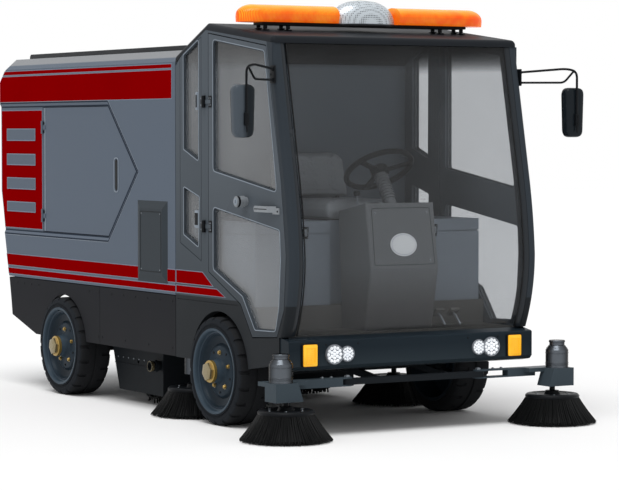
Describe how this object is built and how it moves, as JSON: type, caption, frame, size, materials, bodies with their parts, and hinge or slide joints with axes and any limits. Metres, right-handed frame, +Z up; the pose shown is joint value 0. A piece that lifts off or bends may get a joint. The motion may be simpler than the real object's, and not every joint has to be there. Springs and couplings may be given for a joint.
{
  "type": "ride-on street sweeper",
  "caption": "Four-wheel ride-on street sweeper with a glazed cab, side brushes on swing arms, brushes behind the front wheels, a cross roller and a closed hopper body.",
  "frame": {"origin": "on the floor under the middle of the machine's bounding box", "axes": "+Z up, the front faces -Y, the machine's right side is -X"},
  "size_m": [2.026, 3.655, 2.1168],
  "materials": {
    "body_grey": "satin",
    "trim_dark": "satin",
    "cab_dark": "satin",
    "skirt_black": "satin",
    "bumper_dark": "satin",
    "frame_black": "satin",
    "door_paint": "satin",
    "rim_blue": "satin",
    "tyre_rubber": "matte",
    "pane": "gloss",
    "amber_lens": "gloss",
    "amber_marker": "gloss",
    "red_lens": "gloss",
    "lamp_clear": "gloss",
    "silver": "satin",
    "motor_steel": "satin",
    "handle_metal": "satin",
    "bristle": "matte",
    "dash_plastic": "matte",
    "box_grey": "satin",
    "seat_vinyl": "matte",
    "wheel_rubber": "matte"
  },
  "bodies": {
    "machine": {"a_pillars": "cab_dark", "amber_markers": "amber_marker", "beacon_base": "silver", "beacon_lenses": "amber_lens", "bumper": "bumper_dark", "cab_floor": "frame_black", "cab_glass": "pane", "cab_rear_wall": "cab_dark", "cab_roof": "cab_dark", "cab_side_left": "cab_dark", "cab_side_right": "cab_dark", "chassis_rails": "frame_black", "console": "dash_plastic", "cross_members": "frame_black", "front_axle": "frame_black", "hopper_body": "body_grey", "mid_carriers": "motor_steel", "mirrors": "trim_dark", "power_pack": "frame_black", "rear_axle": "frame_black", "roller_housing": "frame_black", "round_lamps": "lamp_clear", "seat_back": "seat_vinyl", "seat_box": "box_grey", "seat_cushion": "seat_vinyl", "side_louvres": "body_grey", "side_skirts": "skirt_black", "tail_lamps": "red_lens", "top_rails": "trim_dark", "vent_boxes": "body_grey"},
    "knuckle_right_body": {"knuckle_right": "frame_black"},
    "knuckle_left_body": {"knuckle_left": "frame_black"},
    "wheel_fr": {"rim_fr": "rim_blue", "tyre_fr": "tyre_rubber"},
    "wheel_fl": {"rim_fl": "rim_blue", "tyre_fl": "tyre_rubber"},
    "wheel_rr": {"rim_rr": "rim_blue", "tyre_rr": "tyre_rubber"},
    "wheel_rl": {"rim_rl": "rim_blue", "tyre_rl": "tyre_rubber"},
    "right_door": {"door_right": "door_paint", "door_glass_right": "pane", "door_handle_right": "handle_metal"},
    "left_door": {"door_left": "door_paint", "door_glass_left": "pane", "door_handle_left": "handle_metal"},
    "right_hatch": {"hatch_right": "body_grey"},
    "left_hatch": {"hatch_left": "body_grey"},
    "tail_door": {"rear_door": "body_grey"},
    "hand_wheel": {"steering_wheel": "wheel_rubber"},
    "lift_frame": {"brush_lift": "frame_black"},
    "right_arm": {"brush_arm_right": "frame_black", "brush_motor_right": "motor_steel"},
    "left_arm": {"brush_arm_left": "frame_black", "brush_motor_left": "motor_steel"},
    "right_front_brush": {"front_brush_right": "bristle"},
    "left_front_brush": {"front_brush_left": "bristle"},
    "right_mid_brush": {"mid_brush_right": "bristle"},
    "left_mid_brush": {"mid_brush_left": "bristle"},
    "sweep_roller": {"main_roller": "bristle"}
  },
  "joints": [
    {"name": "steer_right", "type": "hinge", "parent": "machine", "child": "knuckle_right_body", "pos_m": [-0.6, -0.8365, 0.27], "axis": [0, 0, 1], "range_deg": [-25, 25]},
    {"name": "steer_left", "type": "hinge", "parent": "machine", "child": "knuckle_left_body", "pos_m": [0.6, -0.8365, 0.27], "axis": [0, 0, 1], "range_deg": [-25, 25]},
    {"name": "spin_fr", "type": "hinge", "parent": "knuckle_right_body", "child": "wheel_fr", "pos_m": [-0.646, -0.8365, 0.27], "axis": [1, 0, 0], "continuous": true},
    {"name": "spin_fl", "type": "hinge", "parent": "knuckle_left_body", "child": "wheel_fl", "pos_m": [0.646, -0.8365, 0.27], "axis": [1, 0, 0], "continuous": true},
    {"name": "spin_rr", "type": "hinge", "parent": "machine", "child": "wheel_rr", "pos_m": [-0.646, 0.9565, 0.27], "axis": [1, 0, 0], "continuous": true},
    {"name": "spin_rl", "type": "hinge", "parent": "machine", "child": "wheel_rl", "pos_m": [0.646, 0.9565, 0.27], "axis": [1, 0, 0], "continuous": true},
    {"name": "hand_wheel_turn", "type": "hinge", "parent": "machine", "child": "hand_wheel", "pos_m": [0, -1.1955, 1.272], "axis": [0, 0.5446, 0.8387], "range_deg": [-350, 350]},
    {"name": "right_door_hinge", "type": "hinge", "parent": "machine", "child": "right_door", "pos_m": [-0.7213, -0.6945, 1.3], "axis": [0, 0, -1], "range_deg": [0, 80]},
    {"name": "left_door_hinge", "type": "hinge", "parent": "machine", "child": "left_door", "pos_m": [0.7213, -0.6945, 1.3], "axis": [0, 0, 1], "range_deg": [0, 80]},
    {"name": "right_hatch_hinge", "type": "hinge", "parent": "machine", "child": "right_hatch", "pos_m": [-0.7103, 1.239, 1.247], "axis": [0, 0, -1], "range_deg": [0, 100]},
    {"name": "left_hatch_hinge", "type": "hinge", "parent": "machine", "child": "left_hatch", "pos_m": [0.7103, 1.239, 1.247], "axis": [0, 0, 1], "range_deg": [0, 100]},
    {"name": "tail_door_hinge", "type": "hinge", "parent": "machine", "child": "tail_door", "pos_m": [-0.5225, 1.8198, 1.425], "axis": [0, 0, 1], "range_deg": [0, 110]},
    {"name": "brush_lift_hinge", "type": "hinge", "parent": "machine", "child": "lift_frame", "pos_m": [0, -1.1605, 0.3], "axis": [-1, 0, 0], "range_deg": [0, 5]},
    {"name": "right_arm_swing", "type": "hinge", "parent": "lift_frame", "child": "right_arm", "pos_m": [-0.38, -1.5155, 0.258], "axis": [0, 0, 1], "range_deg": [-12, 12]},
    {"name": "left_arm_swing", "type": "hinge", "parent": "lift_frame", "child": "left_arm", "pos_m": [0.38, -1.5155, 0.258], "axis": [0, 0, -1], "range_deg": [-12, 12]},
    {"name": "right_front_brush_spin", "type": "hinge", "parent": "right_arm", "child": "right_front_brush", "pos_m": [-0.772, -1.6025, 0.2], "axis": [0, 0, 1], "continuous": true},
    {"name": "left_front_brush_spin", "type": "hinge", "parent": "left_arm", "child": "left_front_brush", "pos_m": [0.772, -1.6025, 0.2], "axis": [0, 0, 1], "continuous": true},
    {"name": "right_mid_brush_spin", "type": "hinge", "parent": "machine", "child": "right_mid_brush", "pos_m": [-0.609, -0.3835, 0.2], "axis": [0, 0, 1], "continuous": true},
    {"name": "left_mid_brush_spin", "type": "hinge", "parent": "machine", "child": "left_mid_brush", "pos_m": [0.609, -0.3835, 0.2], "axis": [0, 0, 1], "continuous": true},
    {"name": "roller_spin", "type": "hinge", "parent": "machine", "child": "sweep_roller", "pos_m": [0, 0.2195, 0.188], "axis": [1, 0, 0], "continuous": true}
  ],
  "couplings": [
    {"joint": "steer_left", "follows": "steer_right", "ratio": 1},
    {"joint": "hand_wheel_turn", "follows": "steer_right", "ratio": 14}
  ]
}
